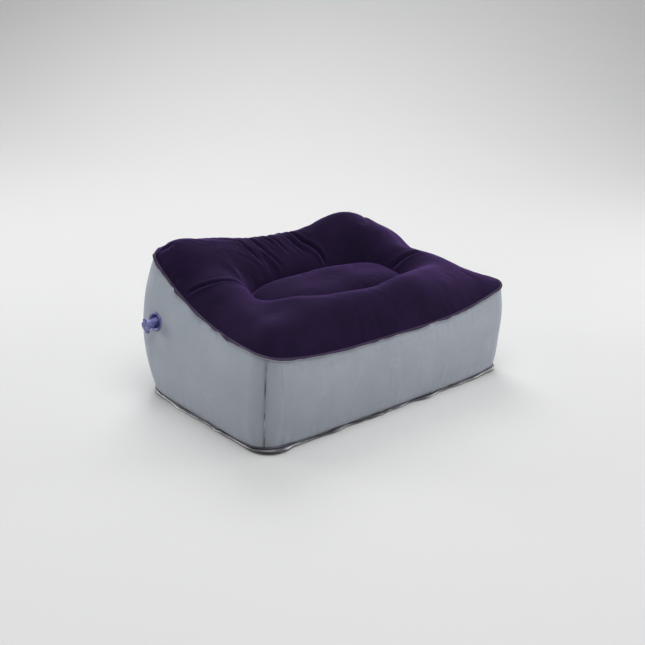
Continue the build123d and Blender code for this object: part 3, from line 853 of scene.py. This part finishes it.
def grey_flock():
    """Flat grey flock with faint brushed patches and lint marks."""
    shader = Shader("grey_flock")
    cloud = shader.noise(5, 2)
    nap = shader.noise(30, 4, rough=0.6)
    fibre = shader.noise(2400, 2)
    tone = shader.ramp(cloud, [(0.3, (0.355, 0.388, 0.434)), (0.7, (0.390, 0.422, 0.468))])
    brushed = shader.ramp(nap, [(0.38, (0.965, 0.965, 0.97)), (0.64, (1.03, 1.03, 1.025))])
    tone = shader.mix(1.0, tone, brushed, "MULTIPLY")
    speck = shader.ramp(fibre, [(0.35, (0.88, 0.88, 0.89)), (0.7, (1.1, 1.1, 1.1))])
    tone = shader.mix(1.0, tone, speck, "MULTIPLY")
    marks = (0, 0, 0)
    for scale, stretch in ((7, (7, 7, 0.9)), (6, (0.7, 0.7, 6)), (5, (3, 3, 3))):
        scuffs = shader.noise(scale, 2, stretch=stretch)
        thin = shader.ramp(scuffs, [(0.4975, (0, 0, 0)), (0.502, (1, 1, 1)), (0.5065, (0, 0, 0))])
        patches = shader.ramp(shader.noise(scale + 5, 2), [(0.54, (0, 0, 0)), (0.74, (0.26, 0.26, 0.26))])
        marks = shader.mix(1.0, marks, shader.mix(1.0, thin, patches, "MULTIPLY"), "ADD")
    tone = shader.mix(marks, tone, (0.68, 0.70, 0.73))
    normal = shader.bump(fibre, 0.2, 0.5, shader.bump(nap, 0.4, 0.25))
    return shader.finish(
        Base_Color=tone,
        Roughness=shader.scale(nap, 0.8, 0.95),
        Normal=normal,
        Sheen_Weight=0.2,
        Sheen_Roughness=0.5,
        Sheen_Tint=(0.8, 0.85, 0.95),
        Specular_IOR_Level=0.2,
    )


def weld_margin(name, dark, light, roughness, coat):
    """Film pressed flat by the welding tool: little nap, a fine grip pattern and a dull shine."""
    shader = Shader(name)
    cloud = shader.noise(40, 3)
    fine = shader.noise(900, 2)
    tone = shader.ramp(cloud, [(0.35, dark), (0.65, light)])
    speck = shader.ramp(fine, [(0.35, (0.85, 0.85, 0.86)), (0.7, (1.15, 1.15, 1.15))])
    tone = shader.mix(1.0, tone, speck, "MULTIPLY")
    normal = shader.bump(fine, 0.12, 0.5, shader.bump(cloud, 0.6, 0.6))
    return shader.finish(
        Base_Color=tone,
        Roughness=shader.scale(cloud, roughness, roughness + 0.15),
        Normal=normal,
        Coat_Weight=coat,
        Coat_Roughness=0.2,
        Specular_IOR_Level=0.35,
    )


def base_film():
    """Glossy film whose colour holds painted light: a dark ground that is partly painted shade from under the
    cushion, and pale patches that are painted glints.
    """
    shader = Shader("base_film")
    cloud = shader.noise(14, 4)
    fine = shader.noise(240, 4)
    # The dark end is partly painted shade from under the cushion; the pale end is painted glints of the
    # glossy film.
    tone = shader.ramp(cloud, [(0.45, (0.12, 0.12, 0.135)), (0.68, (0.62, 0.62, 0.65))])
    normal = shader.bump(fine, 0.12, 0.4, shader.bump(cloud, 1.5, 0.5))
    return shader.finish(
        Base_Color=tone,
        Roughness=shader.scale(fine, 0.12, 0.3),
        Normal=normal,
        Specular_IOR_Level=0.7,
        Coat_Weight=0.5,
        Coat_Roughness=0.08,
    )


def tether_film():
    """Plain milky film inside the cushion."""
    shader = Shader("tether_film")
    cloud = shader.noise(20, 3)
    fine = shader.noise(600, 3)
    tone = shader.ramp(cloud, [(0.35, (0.42, 0.42, 0.45)), (0.65, (0.55, 0.55, 0.58))])
    normal = shader.bump(fine, 0.1, 0.4)
    return shader.finish(Base_Color=tone, Roughness=shader.scale(fine, 0.4, 0.55), Normal=normal)


def valve_vinyl():
    """Soft violet vinyl that lets some light through."""
    shader = Shader("valve_vinyl")
    cloud = shader.noise(120, 3)
    fine = shader.noise(900, 3)
    tone = shader.ramp(cloud, [(0.35, (0.17, 0.18, 0.50)), (0.65, (0.33, 0.35, 0.70))])
    normal = shader.bump(fine, 0.05, 0.4, shader.bump(cloud, 0.3, 0.5))
    return shader.finish(
        Base_Color=tone,
        Roughness=shader.scale(fine, 0.18, 0.34),
        Normal=normal,
        Transmission_Weight=0.5,
        IOR=1.5,
        Specular_IOR_Level=0.6,
    )


def floor_paint():
    """Matt pale grey."""
    shader = Shader("floor_paint")
    cloud = shader.noise(0.8, 2)
    tone = shader.ramp(cloud, [(0.3, (0.655, 0.655, 0.655)), (0.7, (0.67, 0.67, 0.668))])
    return shader.finish(Base_Color=tone, Roughness=0.75, Specular_IOR_Level=0.25)


# ---------------------------------------------------------------- stage


VIEW_WAY = Vector((np.sin(CAMERA_HEADING), np.cos(CAMERA_HEADING), 0.0))  # away from the camera
SWEEP_FRONT = -7.0
SWEEP_START, SWEEP_RADIUS, SWEEP_TOP = 1.4, 2.6, 5.0
SWEEP_HALF_WIDTH = 8.0
SWEEP_STEPS = 24
SKY_STRENGTH = 0.13


def make_stage():
    """A pale sweep, flat under the object and curved up behind it, in soft studio light."""
    across = Vector((VIEW_WAY.y, -VIEW_WAY.x, 0.0))
    profile = [(SWEEP_FRONT, 0.0), (SWEEP_START, 0.0)]
    for step in range(1, SWEEP_STEPS + 1):
        angle = np.radians(90 * step / SWEEP_STEPS)
        profile.append((SWEEP_START + SWEEP_RADIUS * np.sin(angle), SWEEP_RADIUS * (1 - np.cos(angle))))
    profile.append((SWEEP_START + SWEEP_RADIUS, SWEEP_TOP))
    points = []
    for along, height in profile:
        for side in (-SWEEP_HALF_WIDTH, SWEEP_HALF_WIDTH):
            place = VIEW_WAY * along + across * side
            points.append((place.x, place.y, height - 0.0003))
    faces = [(2 * i, 2 * i + 1, 2 * i + 3, 2 * i + 2) for i in range(len(profile) - 1)]
    mesh = bpy.data.meshes.new("floor")
    mesh.from_pydata(points, [], faces)
    mesh.shade_smooth()
    mesh.materials.append(floor_paint())
    floor = bpy.data.objects.new("floor", mesh)
    bpy.context.scene.collection.objects.link(floor)
    world = bpy.data.worlds.new("studio")
    world.use_nodes = True
    sky = world.node_tree.nodes["Background"]
    sky.inputs["Color"].default_value = (0.96, 0.98, 1.0, 1.0)
    sky.inputs["Strength"].default_value = SKY_STRENGTH
    bpy.context.scene.world = world
    soft_light("overhead", (-0.55, -0.85, 2.9), (-0.2, -0.35, 0), 2.8, 72)
    soft_light("rim", (0.95, 1.5, 2.0), (0, 0, 0.15), 1.5, 26)
    soft_light("left_panel", (-1.15, 1.4, 0.45), (-0.2, 0.0, 0.05), 0.9, 10.5)
    soft_light("right_panel", (1.5, -0.8, 0.42), (0.1, 0, 0.05), 0.9, 9.5)
    soft_light("back_wash", (0.9, 1.0, 3.4), (2.6, 2.8, 1.4), 1.8, 30)


def soft_light(name, place, target, size, power):
    """A round area light, aimed at a target."""
    data = bpy.data.lights.new(name, "AREA")
    data.shape = "DISK"
    data.size = size
    data.energy = power
    light = bpy.data.objects.new(name, data)
    bpy.context.scene.collection.objects.link(light)
    light.location = place
    light.rotation_euler = (Vector(target) - Vector(place)).to_track_quat("-Z", "Y").to_euler()


def finish_nodes(names, material):
    """Give carried-over CAD nodes a better material."""
    for name in names:
        node = frame["nodes"][name]
        node.data.materials.clear()
        node.data.materials.append(material)


make_camera()
make_stage()
purple_edge = weld_margin("purple_weld", (0.024, 0.013, 0.042), (0.036, 0.020, 0.062), 0.65, 0.06)
upper_edge = weld_margin("grey_weld", (0.42, 0.44, 0.48), (0.52, 0.54, 0.57), 0.5, 0.2)
# Corner weld: the near-black end paints dashes of shade in the crinkled fold; the pale end is the pressed
# film.
corner_edge_painted_shade = weld_margin("corner_weld_painted_shade", (0.09, 0.095, 0.11), (0.44, 0.46, 0.50), 0.5, 0.1)
# Lower weld margin: its dark tone, far below the same film's upper margin, is painted shade along the foot of
# the wall.
lower_edge_painted_shade = weld_margin("base_weld_painted_shade", (0.085, 0.080, 0.105), (0.19, 0.185, 0.215), 0.3, 0.5)
films = [grey_flock(), upper_edge, corner_edge_painted_shade, lower_edge_painted_shade]
make_crown([purple_flock(), purple_edge])
make_wall("front_right_film", "front_right_wall", False, films)
make_wall("rear_left_film", "rear_left_wall", True, films)
make_base(base_film())
tether = tether_film()
make_tether(tether)
finish_nodes(["tether_top_ring", "tether_base_ring"], tether)
vinyl = valve_vinyl()
make_flange(vinyl)
make_strap(vinyl)
finish_nodes(
    ["valve_seat_ring", "valve_collar", "valve_stem", "valve_flap", "valve_plug"],
    vinyl,
)

bpy.context.scene.view_settings.view_transform = "Standard"
